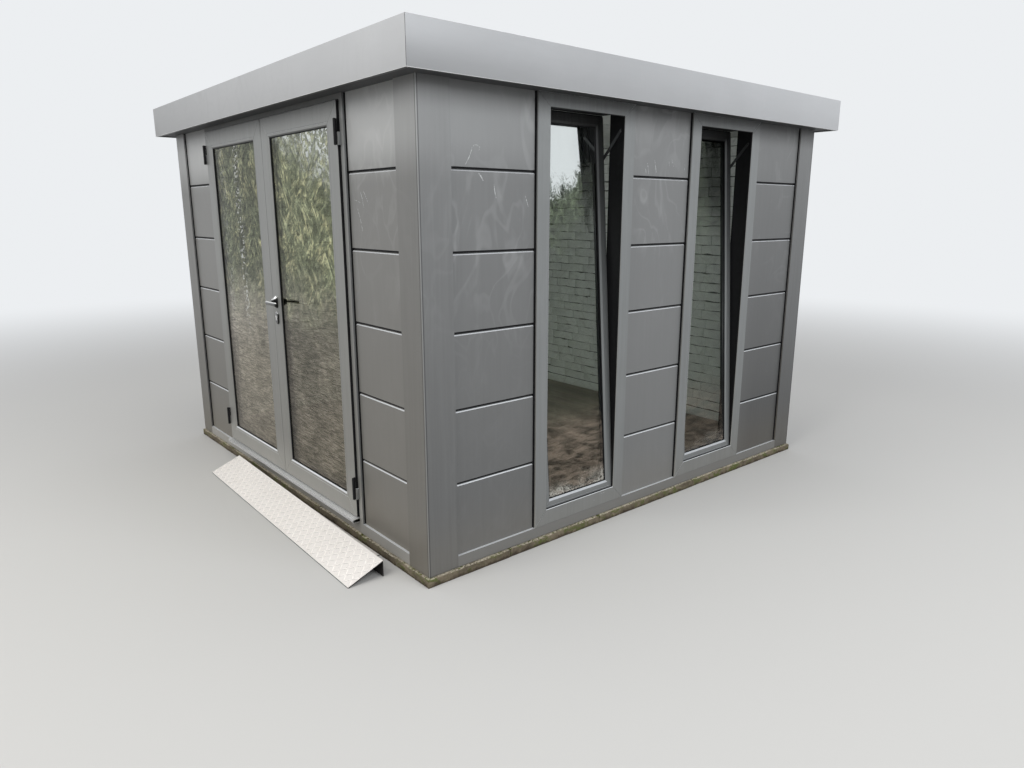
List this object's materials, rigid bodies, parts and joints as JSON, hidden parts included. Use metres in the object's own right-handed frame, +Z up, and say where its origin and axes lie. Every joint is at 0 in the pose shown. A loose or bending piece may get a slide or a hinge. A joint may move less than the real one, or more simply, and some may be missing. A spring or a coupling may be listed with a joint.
{
  "type": "garden office pod",
  "caption": "Flat-roofed steel garden office with grooved panel walls, deep fascia, glazed double doors that open outward, tilted windows and a tread-plate entry ramp.",
  "frame": {"origin": "middle of the plinth's underside, on the ground", "axes": "+Z is up, the glazed double doors face -Y and the two windows face +X"},
  "size_m": [3.31, 3.4977, 2.38],
  "materials": {
    "wall_paint": "satin",
    "rail_paint": "satin",
    "frame_paint": "satin",
    "window_paint": "satin",
    "fascia_paint": "satin",
    "roof_paint": "matt",
    "hinge_paint": "satin",
    "floor": "matt",
    "plinth_stone": "rough",
    "glass": "clear",
    "stay_steel": "satin",
    "handle_steel": "brushed",
    "threshold_aluminium": "ribbed",
    "ramp_aluminium": "tread plate"
  },
  "bodies": {
    "pod": {"back_wall": "wall_paint", "base_rail_back": "rail_paint", "base_rail_front": "rail_paint", "base_rail_left": "rail_paint", "base_rail_right": "rail_paint", "corner_post_back_left": "frame_paint", "corner_post_back_right": "frame_paint", "corner_post_front_left": "frame_paint", "corner_post_front_right": "frame_paint", "door_frame": "frame_paint", "entry_ramp": "ramp_aluminium", "fascia_back": "fascia_paint", "fascia_front": "fascia_paint", "fascia_left": "fascia_paint", "fascia_right": "fascia_paint", "floor_deck": "floor", "front_panel_left": "wall_paint", "front_panel_right": "wall_paint", "hinge_pins_left": "hinge_paint", "hinge_pins_right": "hinge_paint", "left_wall": "wall_paint", "plinth": "plinth_stone", "roof_deck": "roof_paint", "side_panel_far": "wall_paint", "side_panel_middle": "wall_paint", "side_panel_near": "wall_paint", "threshold": "threshold_aluminium", "window_casing_far": "window_paint", "window_casing_near": "window_paint", "window_glass_far": "glass", "window_glass_near": "glass", "window_sash_far": "window_paint", "window_sash_near": "window_paint", "window_stay_far": "stay_steel", "window_stay_near": "stay_steel"},
    "door_leaf_left": {"door_leaf_left": "frame_paint", "door_glass_left": "glass", "hinge_knuckles_left": "hinge_paint"},
    "door_leaf_right": {"door_leaf_right": "frame_paint", "door_glass_right": "glass", "hinge_knuckles_right": "hinge_paint", "handle_plates": "handle_steel"},
    "door_lever": {"door_lever": "handle_steel"}
  },
  "joints": [
    {"name": "left_door_swing", "type": "hinge", "parent": "pod", "child": "door_leaf_left", "pos_m": [-0.9065, -1.574, 0], "axis": [0, 0, -1], "range_deg": [0, 105]},
    {"name": "right_door_swing", "type": "hinge", "parent": "pod", "child": "door_leaf_right", "pos_m": [0.9065, -1.574, 0], "axis": [0, 0, 1], "range_deg": [0, 105]},
    {"name": "lever_turn", "type": "hinge", "parent": "door_leaf_right", "child": "door_lever", "pos_m": [0.062, -1.563, 1.174], "axis": [0, 1, 0], "range_deg": [0, 45], "stiffness_Nm_per_rad": 2, "springref_deg": -20.05}
  ]
}
